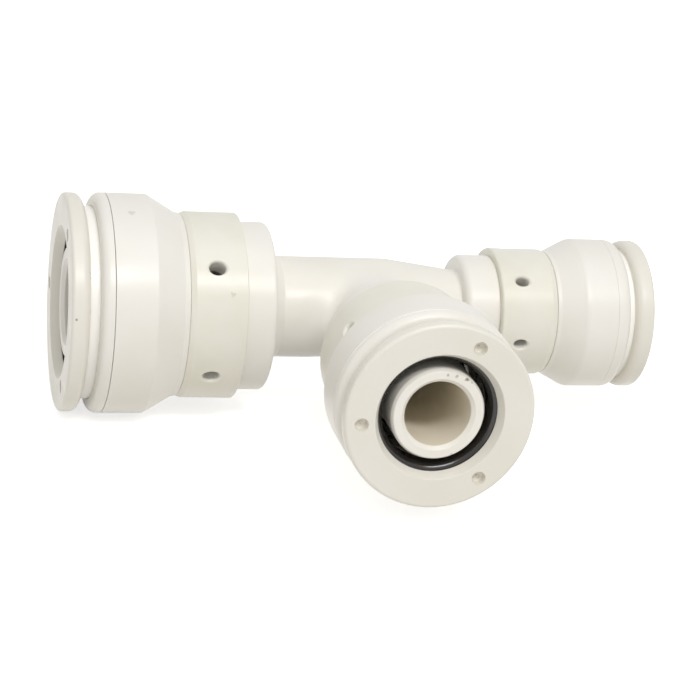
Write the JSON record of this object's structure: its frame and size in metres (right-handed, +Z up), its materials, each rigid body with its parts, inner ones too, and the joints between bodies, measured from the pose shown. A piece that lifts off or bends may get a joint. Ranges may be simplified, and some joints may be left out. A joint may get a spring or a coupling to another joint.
{
  "type": "tee fitting",
  "caption": "White push-fit reducing tee for plastic water pipe: large and small sockets on the run, a middle-sized branch, sight windows, and release rings that slide in to free a pipe.",
  "frame": {"origin": "centre of the box round the part, at its lowest level", "axes": "+X along the run from the large socket to the small one, -Y along the branch towards its mouth, +Z up"},
  "size_m": [0.1498, 0.1024, 0.0546],
  "materials": {
    "white_plastic": "satin moulded",
    "window_plastic": "slightly translucent",
    "spacer_plastic": "moulded",
    "seal_rubber": "glossy",
    "grab_steel": "stamped"
  },
  "bodies": {
    "fitting": {"tee_body": "white_plastic", "large_casing": "white_plastic", "large_cap": "white_plastic", "large_window_sleeve": "window_plastic", "large_spacer": "spacer_plastic", "large_grab_ring": "grab_steel", "large_o_ring_inner": "seal_rubber", "large_o_ring_outer": "seal_rubber", "branch_casing": "white_plastic", "branch_cap": "white_plastic", "branch_window_sleeve": "window_plastic", "branch_spacer": "spacer_plastic", "branch_grab_ring": "grab_steel", "branch_o_ring_inner": "seal_rubber", "branch_o_ring_outer": "seal_rubber", "small_casing": "white_plastic", "small_cap": "white_plastic", "small_window_sleeve": "window_plastic", "small_spacer": "spacer_plastic", "small_grab_ring": "grab_steel", "small_o_ring_inner": "seal_rubber", "small_o_ring_outer": "seal_rubber"},
    "large_release": {"large_release_ring": "white_plastic", "large_mouth_seal": "seal_rubber"},
    "branch_release": {"branch_release_ring": "white_plastic", "branch_mouth_seal": "seal_rubber"},
    "small_release": {"small_release_ring": "white_plastic", "small_mouth_seal": "seal_rubber"}
  },
  "joints": [
    {"name": "large_release_slide", "type": "slide", "parent": "fitting", "child": "large_release", "axis": [1, 0, 0], "range_m": [0, 0.0012], "stiffness_N_per_m": 500, "springref_m": -0.004},
    {"name": "branch_release_slide", "type": "slide", "parent": "fitting", "child": "branch_release", "axis": [0, 1, 0], "range_m": [0, 0.0012], "stiffness_N_per_m": 500, "springref_m": -0.004},
    {"name": "small_release_slide", "type": "slide", "parent": "fitting", "child": "small_release", "axis": [-1, 0, 0], "range_m": [0, 0.0012], "stiffness_N_per_m": 500, "springref_m": -0.004}
  ]
}
